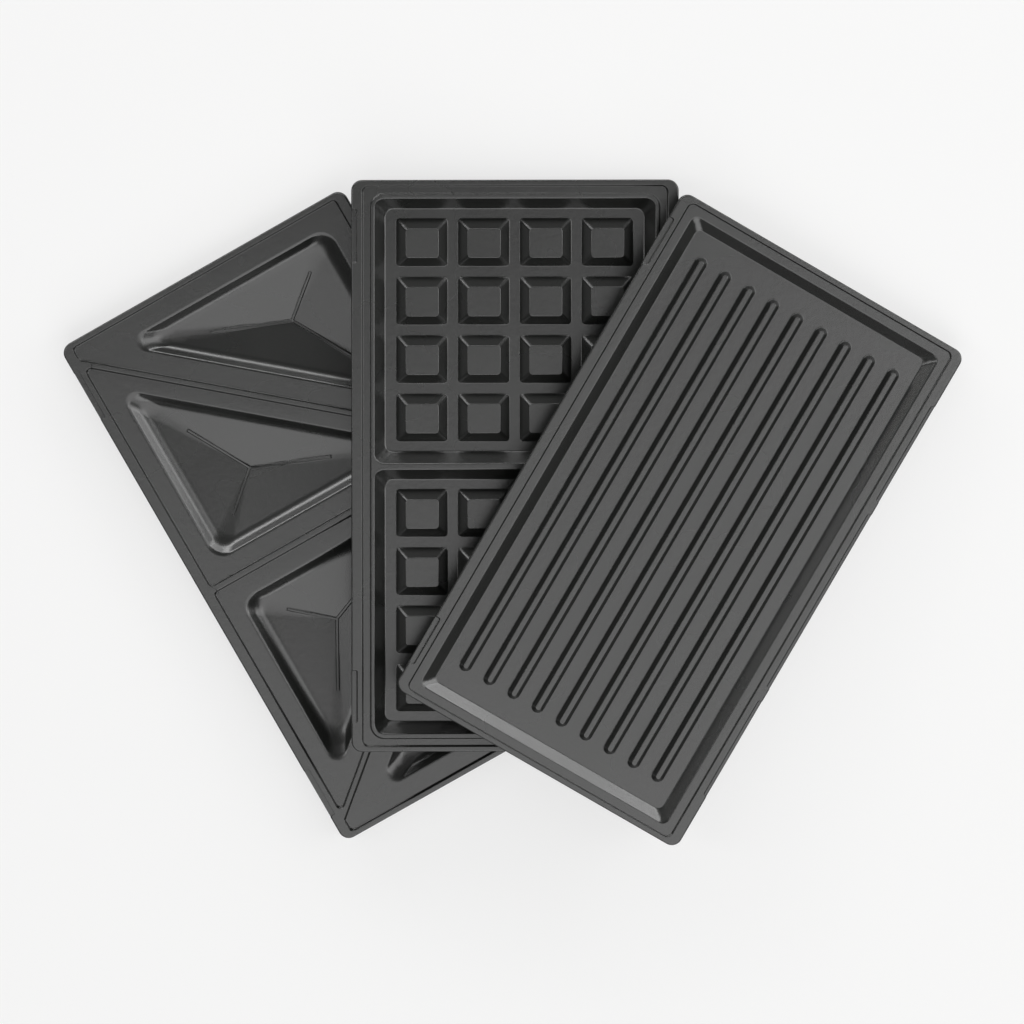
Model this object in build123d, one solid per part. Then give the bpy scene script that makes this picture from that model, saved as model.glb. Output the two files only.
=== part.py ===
from build123d import *
import os
from math import atan2, cos, degrees, hypot, pi, radians, sin, tan

os.makedirs("parts", exist_ok=True)

# Three interchangeable cooking plates, fanned out and leaning on one another: a plate for
# triangle sandwiches lies flat, a waffle plate leans on it and a grill plate leans on that.
# Each plate is drawn on its own: x across, y along, z up, with the foot of its skirt at z = 0.

# Blank that the three plates share, in millimetres
plate_width = 131.2
plate_length = 230.0
plate_height = 12.5
corner_radius = 4.3
deck_thickness = 3.0
deck_edge_rounding = 0.6
skirt_setback = 1.2
skirt_wall = 1.8
casting_wall = 1.5
sloped_wall = 1.9
weld_overlap = 0.5

# Flat rim round the cooking face, wide along the sides and narrow at the ends
rim_side = 4.2
rim_end = 2.0
rim_corner_radius = 2.8
rim_edge_rounding = 0.3
cut_clearance = 1.0

# Ledges in the rim's outer edge for the latches on one side and the locating bar on the other
latch_ledge_width = 2.2
latch_ledge_length = 21.3
latch_ledge_depth = 1.3
latch_ledge_place = 92.7
bar_ledge_width = 1.4
bar_ledge_depth = 1.3
bar_ledge_middle_length = 80.5
bar_ledge_outer_length = 44.1
bar_ledge_gap = 6.2
ledge_corner_radius = 0.8

# Triangle plate: four shallow cells between narrow ridges, each with a deep pocket
cell_depth = 1.5
cell_wall_run = 0.6
cell_foot_rounding = 0.4
middle_ridge_half = 1.0
slant_ridge_half = 0.85
slant_left_drop = 7.1
slant_right_rise = 2.0
cell_corner_radius = 2.0
pocket_margin_side = 7.0
pocket_margin_end = 7.6
pocket_margin_slant = 7.1
outer_margin_side = 8.0
outer_margin_end = 8.0
outer_margin_slant = 9.3
pocket_square_radius = 7.5
pocket_tip_radius = 4.5
pocket_wall_depth = 4.1
pocket_centre_depth = 6.5
pocket_wall_angle = 45.0
pocket_edge_rounding = 2.0
pocket_foot_rounding = 7.0
hub_from_side = 30.5
hub_from_end = 26.7
outer_hub_from_side = 32.5
outer_hub_from_end = 26.6
bead_width = 1.4
bead_height = 0.55
bead_wall_run = 0.3
bead_sunk_depth = 0.4
bead_overlap = 0.35
square_bead_share = 0.505
tip_bead_share = 0.462

# Waffle plate: a gutter, a raised lip, two pans and a field of studs in each pan
gutter_depth = 0.9
gutter_wall_run = 0.6
gutter_rounding = 0.25
gutter_side = 2.6
gutter_end = 2.4
lip_drop = 0.3
lip_wall_run = 0.6
lip_corner_radius = 6.0
lip_edge_rounding = 0.25
waffle_opening_side = 9.2
waffle_opening_end = 7.3
waffle_depth = 6.0
waffle_wall_run = 4.3
waffle_corner_rounding = 5.0
waffle_edge_rounding = 0.6
waffle_foot_rounding = 0.9
divider_half = 1.2
stud_columns = 4
stud_rows = 4
stud_pitch_across = 24.8
stud_pitch_along = 23.5
stud_base_across = 20.6
stud_base_along = 19.1
stud_corner_rounding = 1.8
stud_wall_run = 3.7
stud_height = 5.0
stud_edge_rounding = 0.35
stud_foot_rounding = 0.5

# Grill plate: one pan with long raised ribs
grill_step_depth = 0.8
grill_step_run = 0.6
grill_opening_side = 8.4
grill_opening_end = 6.0
grill_corner_rounding = 5.0
grill_depth = 4.0
grill_wall_run = 4.2
grill_edge_rounding = 1.0
grill_foot_rounding = 0.8
rib_count = 9
rib_pitch = 11.2
rib_length = 191.4
rib_base_width = 4.9
rib_wall_run = 1.4
rib_height = 3.1
rib_edge_rounding = 0.35
rib_foot_rounding = 0.5

# Places and turns of the fan, seen from above
triangle_place = (-67.9, -1.7)
triangle_turn = 29.9
waffle_place = (0.8, 19.8)
waffle_turn = -0.1
grill_place = (67.0, -1.0)
grill_turn = -30.6
rest_clearance = 0.3
settle_steps = 8

half_width = plate_width / 2
half_length = plate_length / 2


def level_face(half_x, half_y, radius, z, centre_y=0.0):
    """Level rectangle with rounded corners at height z."""
    return Pos(0, centre_y, z) * RectangleRounded(2 * half_x, 2 * half_y, radius)


def edges_at(body, z, half_x, half_y, centre_x=0.0, centre_y=0.0):
    """Edges that lie level at height z within a box about a centre."""
    found = ShapeList()
    for edge in body.edges():
        box = edge.bounding_box()
        level = abs(box.min.Z - z) < 0.01 and abs(box.max.Z - z) < 0.01
        inside_x = box.min.X > centre_x - half_x and box.max.X < centre_x + half_x
        inside_y = box.min.Y > centre_y - half_y and box.max.Y < centre_y + half_y
        if level and inside_x and inside_y:
            found.append(edge)
    return found


def outline_at(body, z, half_x, half_y, centre_y=0.0):
    """Edges at height z that follow a rectangle with rounded corners."""
    found = ShapeList()
    for edge in edges_at(body, z, half_x + 0.05, half_y + 0.05, 0, centre_y):
        box = edge.bounding_box()
        reach_x = max(abs(box.min.X), abs(box.max.X))
        reach_y = max(abs(box.min.Y - centre_y), abs(box.max.Y - centre_y))
        if reach_x > half_x - 0.05 or reach_y > half_y - 0.05:
            found.append(edge)
    return found


def narrowed(face, height, run, way):
    """Block that narrows evenly away from a face, upwards for a way of 1 and downwards for -1."""
    return extrude(face, height, dir=(0, 0, way), taper=degrees(atan2(run, height)))


def frustum(half_x, half_y, z, height, run, radius, way, centre_y=0.0):
    """Narrowing rectangular block with its four slanting corner edges rounded."""
    block = narrowed(Pos(0, centre_y, z) * Rectangle(2 * half_x, 2 * half_y), height, run, way)
    corners = ShapeList([edge for edge in block.edges() if edge.bounding_box().size.Z > height / 2])
    return fillet(corners, radius)


def blank():
    """Deck with a skirt set back under its edge, open below."""
    deck_face = level_face(half_width, half_length, corner_radius, plate_height - deck_thickness)
    deck = extrude(deck_face, deck_thickness)
    deck = fillet(edges_at(deck, plate_height, half_width + 1, half_length + 1), deck_edge_rounding)
    outer_x, outer_y = half_width - skirt_setback, half_length - skirt_setback
    skirt_height = plate_height - deck_thickness
    outer = level_face(outer_x, outer_y, corner_radius - skirt_setback, 0)
    inner_radius = corner_radius - skirt_setback - skirt_wall
    inner = level_face(outer_x - skirt_wall, outer_y - skirt_wall, inner_radius, 0)
    return deck + extrude(outer - inner, skirt_height)


def ledge(side, centre_y, length, width, depth):
    """Notch cut down into the outer edge of the rim on one side."""
    face = RectangleRounded(2 * width, length, ledge_corner_radius)
    place = Pos(side * half_width, centre_y, plate_height - depth)
    return extrude(place * face, depth + cut_clearance)


def ledges():
    """The two latch ledges on the left and the three bar ledges on the right."""
    cut = [ledge(1, 0, bar_ledge_middle_length, bar_ledge_width, bar_ledge_depth)]
    outer_place = (bar_ledge_middle_length + bar_ledge_outer_length) / 2 + bar_ledge_gap
    for end in (-1, 1):
        latch_place = end * latch_ledge_place
        cut.append(ledge(-1, latch_place, latch_ledge_length, latch_ledge_width, latch_ledge_depth))
        cut.append(ledge(1, end * outer_place, bar_ledge_outer_length, bar_ledge_width, bar_ledge_depth))
    return cut


# Triangle plate

field_side = half_width - rim_side
field_end = half_length - rim_end
slant_left = field_end - slant_left_drop
slant_right = middle_ridge_half + slant_right_rise
slant_slope = (slant_right - slant_left) / (2 * field_side)
slant_angle = atan2(-slant_slope, 1)


def slant_y(x, away):
    """Height along the plate of a line beside the slanting ridge, a distance above it."""
    middle = (slant_left + slant_right) / 2
    return middle + slant_slope * x + away / cos(slant_angle)


def slant_x(y, away):
    """Place across the plate where that line has a given height along the plate."""
    return (y - slant_y(0, away)) / slant_slope


def rounded_polygon(points, radii):
    """Face through the points, each corner rounded by its own radius."""
    face = make_face(Polyline(*points, close=True))
    for (x, y), radius in zip(points, radii):
        corner = face.vertices().sort_by_distance((x, y, 0))[0]
        face = fillet(corner, radius)
    return face


def inner_cell():
    """Outline of the triangle below the slanting ridge."""
    left_top = (-field_side, slant_y(-field_side, -slant_ridge_half))
    left_foot = (-field_side, middle_ridge_half)
    right_foot = (slant_x(middle_ridge_half, -slant_ridge_half), middle_ridge_half)
    return rounded_polygon([left_top, left_foot, right_foot], [cell_corner_radius] * 3)


def outer_cell():
    """Outline of the four-sided cell above the slanting ridge."""
    left_foot = (-field_side, slant_y(-field_side, slant_ridge_half))
    left_top = (-field_side, field_end)
    right_top = (field_side, field_end)
    right_foot = (field_side, slant_y(field_side, slant_ridge_half))
    return rounded_polygon([left_foot, left_top, right_top, right_foot], [cell_corner_radius] * 4)


def cell_cut(outline):
    """Shallow recess with leaning walls and a rounded foot."""
    top = Pos(0, 0, plate_height) * outline
    recess = narrowed(top, cell_depth, cell_wall_run, -1)
    foot = edges_at(recess, plate_height - cell_depth, half_width, plate_length)
    return fillet(foot, cell_foot_rounding) + extrude(top, cut_clearance)


def inner_pocket():
    """Corners, radii and deepest point of the pocket below the slanting ridge."""
    left = -field_side + pocket_margin_side
    foot = middle_ridge_half + pocket_margin_end
    away = -pocket_margin_slant
    corners = [(left, foot), (slant_x(foot, away), foot), (left, slant_y(left, away))]
    return corners, (left + hub_from_side, foot + hub_from_end)


def outer_pocket():
    """Corners, radii and deepest point of the pocket above the slanting ridge."""
    right = field_side - outer_margin_side
    top = field_end - outer_margin_end
    away = outer_margin_slant
    corners = [(right, top), (slant_x(top, away), top), (right, slant_y(right, away))]
    return corners, (right - outer_hub_from_side, top - outer_hub_from_end)


def pocket_profile():
    """Run and depth down the pocket's wall: rounded edge, straight wall, rounded foot."""
    wall = radians(pocket_wall_angle)
    mean_run = (hub_from_side + hub_from_end) / 2
    floor = atan2(pocket_centre_depth - pocket_wall_depth, mean_run)
    points = []
    for step in range(4):
        angle = wall * step / 3
        points.append((pocket_edge_rounding * sin(angle), pocket_edge_rounding * (1 - cos(angle))))
    foot_depth = pocket_foot_rounding * (cos(floor) - cos(wall))
    straight = pocket_wall_depth - foot_depth - points[-1][1]
    run, depth = points[-1][0] + straight / tan(wall), points[-1][1] + straight
    for step in range(6):
        angle = wall + (floor - wall) * step / 5
        turn_run = pocket_foot_rounding * (sin(wall) - sin(angle))
        turn_depth = pocket_foot_rounding * (cos(angle) - cos(wall))
        points.append((run + turn_run, depth + turn_depth))
    return points, mean_run


def pocket_form(corners, hub, grow, top_z):
    """Bowl that narrows to its deepest point: the pocket itself, or its outside when grown."""
    radii = [pocket_square_radius, pocket_tip_radius, pocket_tip_radius]
    local = [(x - hub[0], y - hub[1]) for x, y in corners]
    outline = rounded_polygon(local, radii)
    if grow > 0:
        outline = offset(outline, grow)
    floor_z = plate_height - cell_depth - grow
    points, mean_run = pocket_profile()
    sections = [Pos(0, 0, top_z) * outline]
    for run, depth in points:
        sections.append(Pos(0, 0, floor_z - depth) * scale(outline, 1 - run / mean_run))
    sections.append(Vertex(0, 0, floor_z - pocket_centre_depth))
    return Pos(hub[0], hub[1], 0) * loft(sections, ruled=True)


def pocket_beads(corners, hub):
    """Three thin raised beads on the pocket's floor, from its deepest point towards its corners."""
    points, mean_run = pocket_profile()
    last_run, last_depth = points[-1]
    floor_rise = (pocket_centre_depth - last_depth) / (1 - last_run / mean_run)
    outline = rounded_polygon(corners, [pocket_square_radius, pocket_tip_radius, pocket_tip_radius])
    start = Vector(hub[0], hub[1], plate_height - cell_depth - pocket_centre_depth)
    up = Vector(0, 0, 1)
    slope = bead_wall_run / bead_height
    wider = slope * bead_sunk_depth
    beads = []
    shares = [square_bead_share, tip_bead_share, tip_bead_share]
    for (x, y), share in zip(corners, shares):
        ray = Edge.make_line((hub[0], hub[1], 0), (x, y, 0))
        inside = (outline & ray).edges()[0].length
        reach = share * ray.length
        way = Vector(x - hub[0], y - hub[1], 0).normalized()
        along = way * reach + up * (floor_rise * reach / inside)
        length = along.length + bead_overlap
        low = Pos((along.length - bead_overlap) / 2, 0, -bead_sunk_depth)
        foot = low * Rectangle(length + 2 * wider, bead_width + 2 * wider)
        bead = narrowed(foot, bead_sunk_depth + bead_height, wider + bead_wall_run, 1)
        beads.append(Plane(origin=start, x_dir=along, z_dir=along.cross(up.cross(way))) * bead)
    return beads[0] + beads[1:]


def triangle_plate():
    """Plate that presses and seals four sandwich triangles."""
    body = blank()
    pockets = [inner_pocket(), outer_pocket()]
    cells = [cell_cut(inner_cell()), cell_cut(outer_cell())]
    weld_z = plate_height - cell_depth - weld_overlap
    shells = [pocket_form(corners, hub, casting_wall, weld_z) for corners, hub in pockets]
    bowls = [pocket_form(corners, hub, 0, plate_height) for corners, hub in pockets]
    beads = [pocket_beads(corners, hub) for corners, hub in pockets]
    for group in (cells, shells, bowls, beads):
        group.extend([mirror(solid, about=Plane.XZ) for solid in list(group)])
    body = body + shells
    body = body - cells - bowls
    body = fillet(edges_at(body, plate_height, field_side + 0.1, field_end + 0.1), rim_edge_rounding)
    body = body + beads
    return body - ledges()


# Waffle plate

lip_side = rim_side + gutter_wall_run + gutter_side
lip_end = rim_end + gutter_wall_run + gutter_end
pan_half_x = half_width - waffle_opening_side
pan_half_y = (half_length - waffle_opening_end - divider_half) / 2
pan_centre_y = divider_half + pan_half_y
waffle_top_z = plate_height - lip_drop
waffle_floor_z = plate_height - waffle_depth


def gutter_cut():
    """Ring round the pans, with the lip left standing inside it."""
    foot_z = plate_height - gutter_depth
    mouth = level_face(half_width - rim_side, half_length - rim_end, rim_corner_radius, plate_height)
    pit = narrowed(mouth, gutter_depth, gutter_wall_run, -1) + extrude(mouth, cut_clearance)
    lip_foot = level_face(half_width - lip_side, half_length - lip_end, lip_corner_radius, foot_z)
    return pit - narrowed(lip_foot, gutter_depth - lip_drop, lip_wall_run, 1)


def stud_form(inward, low_z, high_z, corner):
    """Stud's outside, or the hollow under it when drawn inward."""
    slope = stud_wall_run / stud_height
    wider = slope * (waffle_floor_z - low_z) - inward
    height = high_z - low_z
    half_x, half_y = stud_base_across / 2 + wider, stud_base_along / 2 + wider
    return frustum(half_x, half_y, low_z, height, slope * height, corner, 1)


def stud_places():
    """Centres of the studs in both pans."""
    places = []
    for end in (-1, 1):
        for column in range(stud_columns):
            for row in range(stud_rows):
                x = (column - (stud_columns - 1) / 2) * stud_pitch_across
                y = end * pan_centre_y + (row - (stud_rows - 1) / 2) * stud_pitch_along
                places.append((x, y))
    return places


def pan_tool(half_x, half_y, z, low_z, slope, corner, centre_y=0.0):
    """Tapered pan from one height down to another, with a given run of its walls per depth."""
    drop = z - low_z
    return frustum(half_x, half_y, z, drop, slope * drop, corner, -1, centre_y)


def waffle_plate():
    """Plate with two pans of studs."""
    body = blank()
    under_z = waffle_floor_z - casting_wall
    weld_z = plate_height - deck_thickness + weld_overlap
    slope = waffle_wall_run / (waffle_top_z - waffle_floor_z)
    reach = sloped_wall - slope * (waffle_top_z - weld_z)
    corner = waffle_corner_rounding
    pans, shells = [], []
    for end in (-1, 1):
        centre = end * pan_centre_y
        pan = pan_tool(pan_half_x, pan_half_y, waffle_top_z, waffle_floor_z, slope, corner, centre)
        foot = edges_at(pan, waffle_floor_z, half_width, half_length, 0, centre)
        pan = fillet(foot, waffle_foot_rounding)
        mouth = pan.faces().sort_by(Axis.Z)[-1]
        pans.append(pan + extrude(mouth, cut_clearance))
        shell_x, shell_y = pan_half_x + reach, pan_half_y + reach
        shells.append(pan_tool(shell_x, shell_y, weld_z, under_z, slope, corner, centre))
    body = body + shells
    body = body - [gutter_cut()] - pans
    rim_x, rim_y = half_width - rim_side, half_length - rim_end
    body = fillet(outline_at(body, plate_height, rim_x, rim_y), rim_edge_rounding)
    lip_x, lip_y = half_width - lip_side - lip_wall_run, half_length - lip_end - lip_wall_run
    body = fillet(outline_at(body, waffle_top_z, lip_x, lip_y), lip_edge_rounding)
    body = fillet(edges_at(body, plate_height - gutter_depth, half_width, half_length), gutter_rounding)
    openings = ShapeList()
    for end in (-1, 1):
        openings.extend(outline_at(body, waffle_top_z, pan_half_x, pan_half_y, end * pan_centre_y))
    body = fillet(openings, waffle_edge_rounding)
    top_z = waffle_floor_z + stud_height
    stud = stud_form(0, waffle_floor_z - weld_overlap, top_z, stud_corner_rounding)
    stud = fillet(edges_at(stud, top_z, stud_base_across, stud_base_along), stud_edge_rounding)
    hollow = stud_form(sloped_wall, under_z - weld_overlap, top_z - casting_wall, stud_corner_rounding / 2)
    body = body + [Pos(x, y, 0) * stud for x, y in stud_places()]
    field_x = (stud_columns - 1) / 2 * stud_pitch_across + stud_base_across / 2 + 0.5
    field_y = (stud_rows - 1) / 2 * stud_pitch_along + stud_base_along / 2 + 0.5
    feet = ShapeList()
    for end in (-1, 1):
        feet.extend(edges_at(body, waffle_floor_z, field_x, field_y, 0, end * pan_centre_y))
    body = fillet(feet, stud_foot_rounding)
    body = body - [Pos(x, y, 0) * hollow for x, y in stud_places()]
    return body - ledges()


# Grill plate

grill_half_x = half_width - grill_opening_side
grill_half_y = half_length - grill_opening_end
grill_top_z = plate_height - grill_step_depth
grill_floor_z = plate_height - grill_depth


def grill_plate():
    """Plate with one wide pan and raised ribs."""
    body = blank()
    weld_z = plate_height - deck_thickness + weld_overlap
    slope = grill_wall_run / (grill_top_z - grill_floor_z)
    reach = sloped_wall - slope * (grill_top_z - weld_z)
    corner = grill_corner_rounding
    under_z = grill_floor_z - casting_wall
    shell = pan_tool(grill_half_x + reach, grill_half_y + reach, weld_z, under_z, slope, corner)
    rim_x, rim_y = half_width - rim_side, half_length - rim_end
    mouth = level_face(rim_x, rim_y, rim_corner_radius, plate_height)
    step = narrowed(mouth, grill_step_depth, grill_step_run, -1) + extrude(mouth, cut_clearance)
    pan = pan_tool(grill_half_x, grill_half_y, grill_top_z, grill_floor_z, slope, corner)
    pan = fillet(edges_at(pan, grill_floor_z, half_width, half_length), grill_foot_rounding)
    pan = pan + extrude(pan.faces().sort_by(Axis.Z)[-1], cut_clearance)
    body = body + shell
    body = body - step - pan
    body = fillet(outline_at(body, plate_height, rim_x, rim_y), rim_edge_rounding)
    step_x, step_y = rim_x - grill_step_run, rim_y - grill_step_run
    body = fillet(outline_at(body, grill_top_z, step_x, step_y), gutter_rounding)
    body = fillet(outline_at(body, grill_top_z, grill_half_x, grill_half_y), grill_edge_rounding)
    rib_slope = rib_wall_run / rib_height
    low_width = rib_base_width + 2 * rib_slope * weld_overlap
    low_length = rib_length + 2 * rib_slope * weld_overlap
    low = Pos(0, 0, grill_floor_z - weld_overlap) * Rot(0, 0, 90) * SlotOverall(low_length, low_width)
    rib = narrowed(low, rib_height + weld_overlap, rib_slope * (rib_height + weld_overlap), 1)
    rib = fillet(edges_at(rib, grill_floor_z + rib_height, half_width, half_length), rib_edge_rounding)
    places = [(index - (rib_count - 1) / 2) * rib_pitch for index in range(rib_count)]
    body = body + [Pos(x, 0, 0) * rib for x in places]
    field_x = (rib_count - 1) / 2 * rib_pitch + rib_base_width / 2 + 0.5
    feet = edges_at(body, grill_floor_z, field_x, rib_length / 2 + 0.5)
    body = fillet(feet, rib_foot_rounding)
    return body - ledges()


# Leaning the plates: the upper plate's skirt rests on two rims of the plate below it,
# and the rounded corner that is furthest from them stands on the table.

def plate_frame(place, turn, slope_x, slope_y, height):
    """Plane of a plate's foot: place seen from above, turn, slopes and height at its centre."""
    along = (cos(radians(turn)), sin(radians(turn)))
    x_dir = Vector(along[0], along[1], slope_x * along[0] + slope_y * along[1])
    return Plane(origin=(place[0], place[1], height), x_dir=x_dir, z_dir=(-slope_x, -slope_y, 1))


def point_on(frame, x, y, z):
    """A plate's own point, placed by its frame."""
    return frame.origin + frame.x_dir * x + frame.y_dir * y + frame.z_dir * z


def crossing(upper_line, lower_line):
    """Point of the lower line that lies under or over the upper line, seen from above."""
    (a, b), (c, d) = upper_line, lower_line
    across = (b.X - a.X) * (d.Y - c.Y) - (b.Y - a.Y) * (d.X - c.X)
    share = ((b.Y - a.Y) * (c.X - a.X) - (b.X - a.X) * (c.Y - a.Y)) / across
    return c + (d - c) * share


def plane_slopes(points):
    """Slopes of the plane through three points."""
    a, b, c = points
    normal = (b - a).cross(c - a)
    return -normal.X / normal.Z, -normal.Y / normal.Z


def leaning_frame(place, turn, lower):
    """Frame of a plate that leans on the plate whose frame is given."""
    inner_x = half_width - skirt_setback - skirt_wall
    inner_y = half_length - skirt_setback - skirt_wall
    corner = corner_radius - skirt_setback
    corner_x = half_width - skirt_setback - corner
    corner_y = half_length - skirt_setback - corner
    low_right = point_on(lower, half_width, -half_length, plate_height)
    rims = [
        (point_on(lower, half_width, half_length, plate_height), low_right),
        (point_on(lower, -half_width, -half_length, plate_height), low_right),
    ]
    frame = plate_frame(place, turn, -0.1, -0.01, plate_height)
    for step in range(settle_steps):
        low_left = point_on(frame, -inner_x, -inner_y, 0)
        skirts = [
            (low_left, point_on(frame, -inner_x, inner_y, 0)),
            (low_left, point_on(frame, inner_x, -inner_y, 0)),
        ]
        lift = Vector(0, 0, rest_clearance)
        touches = [crossing(skirt, rim) + lift for skirt, rim in zip(skirts, rims)]
        downhill = Vector(-frame.x_dir.Z, -frame.y_dir.Z, 0).normalized()
        foot = point_on(frame, corner_x + corner * downhill.X, corner_y + corner * downhill.Y, 0)
        touches.append(Vector(foot.X, foot.Y, 0))
        slope_x, slope_y = plane_slopes(touches)
        height = touches[0].Z + slope_x * (place[0] - touches[0].X) + slope_y * (place[1] - touches[0].Y)
        frame = plate_frame(place, turn, slope_x, slope_y, height)
    return frame


triangle_frame = plate_frame(triangle_place, triangle_turn, 0, 0, 0)
waffle_frame = leaning_frame(waffle_place, waffle_turn, triangle_frame)
grill_frame = leaning_frame(grill_place, grill_turn, waffle_frame)

plates = {
    "triangle_plate": triangle_frame * triangle_plate(),
    "waffle_plate": waffle_frame * waffle_plate(),
    "grill_plate": grill_frame * grill_plate(),
}

# The origin is on the table, under the middle of the whole fan.
fan = Compound(children=[Compound(plate.solids()) for plate in plates.values()]).bounding_box()
middle = Vector((fan.min.X + fan.max.X) / 2, (fan.min.Y + fan.max.Y) / 2, 0)
for name, plate in plates.items():
    export_step(Pos(-middle.X, -middle.Y, -middle.Z) * plate, f"parts/{name}.step")
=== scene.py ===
import math

import bmesh
import bpy
from mathutils import Matrix, Vector


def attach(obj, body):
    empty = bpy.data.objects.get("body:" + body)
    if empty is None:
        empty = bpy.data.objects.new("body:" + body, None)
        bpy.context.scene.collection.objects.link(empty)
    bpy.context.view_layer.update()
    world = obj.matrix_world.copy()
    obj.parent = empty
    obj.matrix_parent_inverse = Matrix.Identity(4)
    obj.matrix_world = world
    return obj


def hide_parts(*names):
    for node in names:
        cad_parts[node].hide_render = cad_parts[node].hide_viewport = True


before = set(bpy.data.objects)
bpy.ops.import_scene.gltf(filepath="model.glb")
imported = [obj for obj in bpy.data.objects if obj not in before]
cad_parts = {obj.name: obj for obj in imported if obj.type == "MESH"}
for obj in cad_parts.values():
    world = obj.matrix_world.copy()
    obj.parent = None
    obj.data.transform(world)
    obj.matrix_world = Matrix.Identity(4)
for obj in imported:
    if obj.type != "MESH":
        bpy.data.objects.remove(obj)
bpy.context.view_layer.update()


# Triangle sandwich plate, the lowest of the fan. It is one pressure casting in aluminium, sprayed
# with a dark grey non-stick coating and baked. Four pockets press and seal the bread, and thin
# beads run from the deepest point of each pocket towards its corners.

def linear_colour(hex_code):
    """Linear colour of an sRGB hex value."""
    channels = [int(hex_code[i:i + 2], 16) / 255 for i in (1, 3, 5)]
    linear = [c / 12.92 if c <= 0.04045 else ((c + 0.055) / 1.055) ** 2.4 for c in channels]
    return (*linear, 1.0)


def add_node(tree, kind, settings=None, links=None):
    """Adds a node, sets its properties and sockets, and links other nodes' outputs into it."""
    node = tree.nodes.new(kind)
    for name, value in (settings or {}).items():
        if name in node.inputs:
            node.inputs[name].default_value = value
        else:
            setattr(node, name, value)
    for name, output in (links or {}).items():
        tree.links.new(output, node.inputs[name])
    return node


def nonstick_coating(name, ground, fleck):
    """Sprayed non-stick coating, baked on.

    It is a satin charcoal film: it blurs the softboxes to a broad sheen, and pigment flecks and the
    orange-peel ripple of the spray break that sheen up a little. Its refractive index is higher than
    a real non-stick film's, so that the sheen shows under plain lamps.
    """
    coating = bpy.data.materials.new(name)
    coating.use_nodes = True
    tree = coating.node_tree
    tree.nodes.clear()
    place = add_node(tree, "ShaderNodeTexCoord")
    millimetres_per_metre = 1000.0
    fleck_size = 0.9
    ripple_size = 2.4
    cloud_size = 38.0
    smoothest, roughest = 0.25, 0.29
    noise_low, noise_high = 0.3, 0.7
    bump_strength = 0.25
    fleck_height = 0.00006
    ripple_height = 0.0001
    refractive_index = 1.9
    flecks = add_node(tree, "ShaderNodeTexNoise",
                      {"Scale": millimetres_per_metre / fleck_size, "Detail": 3.0, "Roughness": 0.6},
                      {"Vector": place.outputs["Object"]})
    clouds = add_node(tree, "ShaderNodeTexNoise",
                      {"Scale": millimetres_per_metre / cloud_size, "Detail": 2.0},
                      {"Vector": place.outputs["Object"]})
    ripple = add_node(tree, "ShaderNodeTexNoise",
                      {"Scale": millimetres_per_metre / ripple_size, "Detail": 2.0},
                      {"Vector": place.outputs["Object"]})
    spread = add_node(tree, "ShaderNodeMapRange",
                      {"From Min": noise_low, "From Max": noise_high, "To Min": 0.0, "To Max": 1.0},
                      {"Value": flecks.outputs["Fac"]})
    shade = add_node(tree, "ShaderNodeMix", {"data_type": "RGBA"}, {"Factor": spread.outputs["Result"]})
    shade.inputs[6].default_value = linear_colour(ground)
    shade.inputs[7].default_value = linear_colour(fleck)
    haze = add_node(tree, "ShaderNodeMapRange",
                    {"From Min": noise_low, "From Max": noise_high, "To Min": smoothest, "To Max": roughest},
                    {"Value": clouds.outputs["Fac"]})
    grain_bump = add_node(tree, "ShaderNodeBump", {"Strength": bump_strength, "Distance": fleck_height},
                          {"Height": flecks.outputs["Fac"]})
    peel_bump = add_node(tree, "ShaderNodeBump", {"Strength": bump_strength, "Distance": ripple_height},
                         {"Height": ripple.outputs["Fac"], "Normal": grain_bump.outputs["Normal"]})
    film = add_node(tree, "ShaderNodeBsdfPrincipled", {"IOR": refractive_index, "Metallic": 0.0},
                    {"Base Color": shade.outputs[2], "Roughness": haze.outputs["Result"],
                     "Normal": peel_bump.outputs["Normal"]})
    add_node(tree, "ShaderNodeOutputMaterial", None, {"Surface": film.outputs["BSDF"]})
    return coating


def smooth_casting(name, node, material, edge_width):
    """Merged copy of a CAD plate with smooth curves and edges softened by the coating."""
    weld_distance = 0.000002
    shortest_edge = 0.000001
    flat_within = math.radians(0.05)
    crease_angle = math.radians(28)
    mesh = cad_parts[node].data.copy()
    mesh.name = name
    shape = bmesh.new()
    shape.from_mesh(mesh)
    bmesh.ops.remove_doubles(shape, verts=shape.verts, dist=weld_distance)
    bmesh.ops.dissolve_degenerate(shape, edges=shape.edges, dist=shortest_edge)
    bmesh.ops.dissolve_limit(shape, angle_limit=flat_within, verts=shape.verts, edges=shape.edges)
    shape.to_mesh(mesh)
    shape.free()
    mesh.shade_smooth()
    mesh.set_sharp_from_angle(angle=crease_angle)
    casting = bpy.data.objects.new(name, mesh)
    bpy.context.collection.objects.link(casting)
    soft_edges = casting.modifiers.new("coated_edges", "BEVEL")
    soft_edges.width = edge_width
    soft_edges.segments = 2
    soft_edges.limit_method = "ANGLE"
    soft_edges.angle_limit = crease_angle
    soft_edges.use_clamp_overlap = False
    weighted = casting.modifiers.new("flat_faces_first", "WEIGHTED_NORMAL")
    weighted.keep_sharp = True
    mesh.materials.clear()
    mesh.materials.append(material)
    return casting


coating_ground = "#191a19"
coating_fleck = "#20211f"
fine_edge = 0.00012
plain_edge = 0.0003
triangle_coating = nonstick_coating("triangle_nonstick_coating", coating_ground, coating_fleck)
triangle_casting = smooth_casting("triangle_casting", "triangle_plate", triangle_coating, fine_edge)
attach(triangle_casting, "triangle_plate")
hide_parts("triangle_plate")


# Waffle plate, which leans on the triangle plate. It is the same kind of casting and coating, with
# a gutter and a raised lip round two pans, and blunt square studs that press the waffle's hollows.

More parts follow.
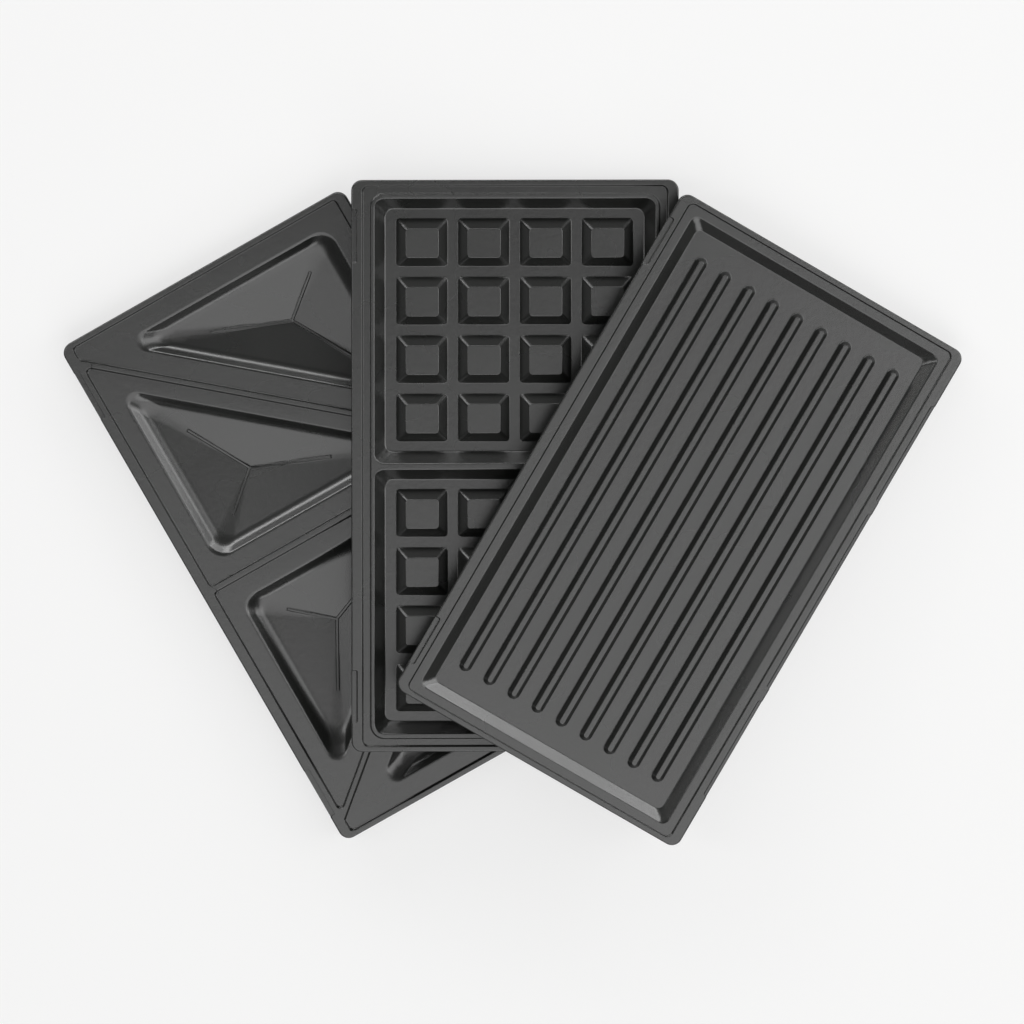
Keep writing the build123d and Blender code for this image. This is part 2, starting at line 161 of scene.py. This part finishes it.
waffle_coating = nonstick_coating("waffle_nonstick_coating", coating_ground, coating_fleck)
waffle_casting = smooth_casting("waffle_casting", "waffle_plate", waffle_coating, plain_edge)
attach(waffle_casting, "waffle_plate")
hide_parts("waffle_plate")


# Grill plate, the uppermost, which leans on the waffle plate. It is cast and coated like the
# others, and its long ribs with round ends mark the food.

grill_coating = nonstick_coating("grill_nonstick_coating", coating_ground, coating_fleck)
grill_casting = smooth_casting("grill_casting", "grill_plate", grill_coating, plain_edge)
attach(grill_casting, "grill_plate")
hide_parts("grill_plate")


# Table and backdrop: one pale floor of matt paper. Part of it glows, for the camera alone, so it stays
# near white and still keeps the plates' soft shadow.

floor_half_width = 6.0
camera_glow_share = 0.65
floor_shape = bmesh.new()
bmesh.ops.create_grid(floor_shape, x_segments=1, y_segments=1, size=floor_half_width)
floor_mesh = bpy.data.meshes.new("pale_floor")
floor_shape.to_mesh(floor_mesh)
floor_shape.free()
floor = bpy.data.objects.new("pale_floor", floor_mesh)
bpy.context.collection.objects.link(floor)
paper = bpy.data.materials.new("matt_white_paper")
paper.use_nodes = True
paper_tree = paper.node_tree
paper_tree.nodes.clear()
paper_rays = add_node(paper_tree, "ShaderNodeLightPath")
paper_matt = add_node(paper_tree, "ShaderNodeBsdfDiffuse", {"Color": linear_colour("#f4f4f3")})
paper_glow = add_node(paper_tree, "ShaderNodeEmission", {"Color": linear_colour("#ffffff")},
                      {"Strength": paper_rays.outputs["Is Camera Ray"]})
paper_glow_share = add_node(paper_tree, "ShaderNodeMixShader", {"Fac": camera_glow_share})
paper_tree.links.new(paper_matt.outputs["BSDF"], paper_glow_share.inputs[1])
paper_tree.links.new(paper_glow.outputs["Emission"], paper_glow_share.inputs[2])
add_node(paper_tree, "ShaderNodeOutputMaterial", None, {"Surface": paper_glow_share.outputs["Shader"]})
floor_mesh.materials.append(paper)


# Light: a ring of softboxes round a camera that looks straight down. The flats mirror the edge of the
# near box, beside the dark gap at the camera. Walls that face the low far boxes catch bright bands, and
# the boxes at the sides draw thin lines along the edges.

def softbox(name, place, width, depth, power):
    """Rectangular area lamp that points at the middle of the table."""
    lamp = bpy.data.lights.new(name, "AREA")
    lamp.shape = "RECTANGLE"
    lamp.size, lamp.size_y = width, depth
    lamp.energy = power
    holder = bpy.data.objects.new(name, lamp)
    holder.location = place
    holder.rotation_euler = (-Vector(place)).to_track_quat("-Z", "Y").to_euler()
    bpy.context.collection.objects.link(holder)


softbox("near_softbox", (0.2, -0.84, 1.8), 2.3, 1.6, 14.0)
softbox("low_near_softbox", (0.5, -1.65, 1.0), 1.5, 0.6, 6.0)
softbox("right_softbox", (1.3, 0.15, 1.5), 0.9, 1.4, 7.0)
softbox("low_right_softbox", (1.75, 0.55, 0.8), 1.5, 0.7, 8.0)
softbox("left_softbox", (-1.2, 0.2, 1.6), 0.35, 1.4, 4.5)
softbox("low_far_left_softbox", (-0.85, 1.65, 0.68), 1.9, 0.5, 15.0)
softbox("low_far_right_softbox", (0.85, 1.65, 0.68), 1.9, 0.5, 12.0)

sky_light = 0.08
sky = bpy.data.worlds.new("white_studio")
bpy.context.scene.world = sky
sky.use_nodes = True
sky_tree = sky.node_tree
sky_tree.nodes.clear()
sky_rays = add_node(sky_tree, "ShaderNodeLightPath")
sky_seen = add_node(sky_tree, "ShaderNodeMath", {"operation": "MAXIMUM"})
sky_tree.links.new(sky_rays.outputs["Is Camera Ray"], sky_seen.inputs[0])
sky_tree.links.new(sky_rays.outputs["Is Transmission Ray"], sky_seen.inputs[1])
sky_strength = add_node(sky_tree, "ShaderNodeMapRange", {"To Min": sky_light, "To Max": 1.0},
                        {"Value": sky_seen.outputs["Value"]})
sky_glow = add_node(sky_tree, "ShaderNodeBackground", {"Color": linear_colour("#ffffff")},
                    {"Strength": sky_strength.outputs["Result"]})
add_node(sky_tree, "ShaderNodeOutputWorld", None, {"Surface": sky_glow.outputs["Background"]})


# Camera: a long lens almost straight above the fan, leaning slightly towards its upper end. Its scale
# is set so that the fan fills the picture as it does in the photo.

look_at = Vector((-0.0001, -0.0013, 0.008))
lean = Vector((0.06, 0.12, 1.0)).normalized()
distance = 5.0
pixels_per_metre = 2484.8
picture_width = 1024
view = bpy.data.cameras.new("camera")
view.sensor_width = 36.0
view.lens = pixels_per_metre * distance / picture_width * view.sensor_width
view.clip_end = 50.0
camera = bpy.data.objects.new("camera", view)
across = (-lean).cross(Vector((0, 1, 0))).normalized()
upward = across.cross(-lean)
turn = Matrix((across, upward, lean)).transposed().to_4x4()
camera.matrix_world = Matrix.Translation(look_at + lean * distance) @ turn
bpy.context.collection.objects.link(camera)
bpy.context.scene.camera = camera
bpy.context.scene.view_settings.view_transform = "Standard"
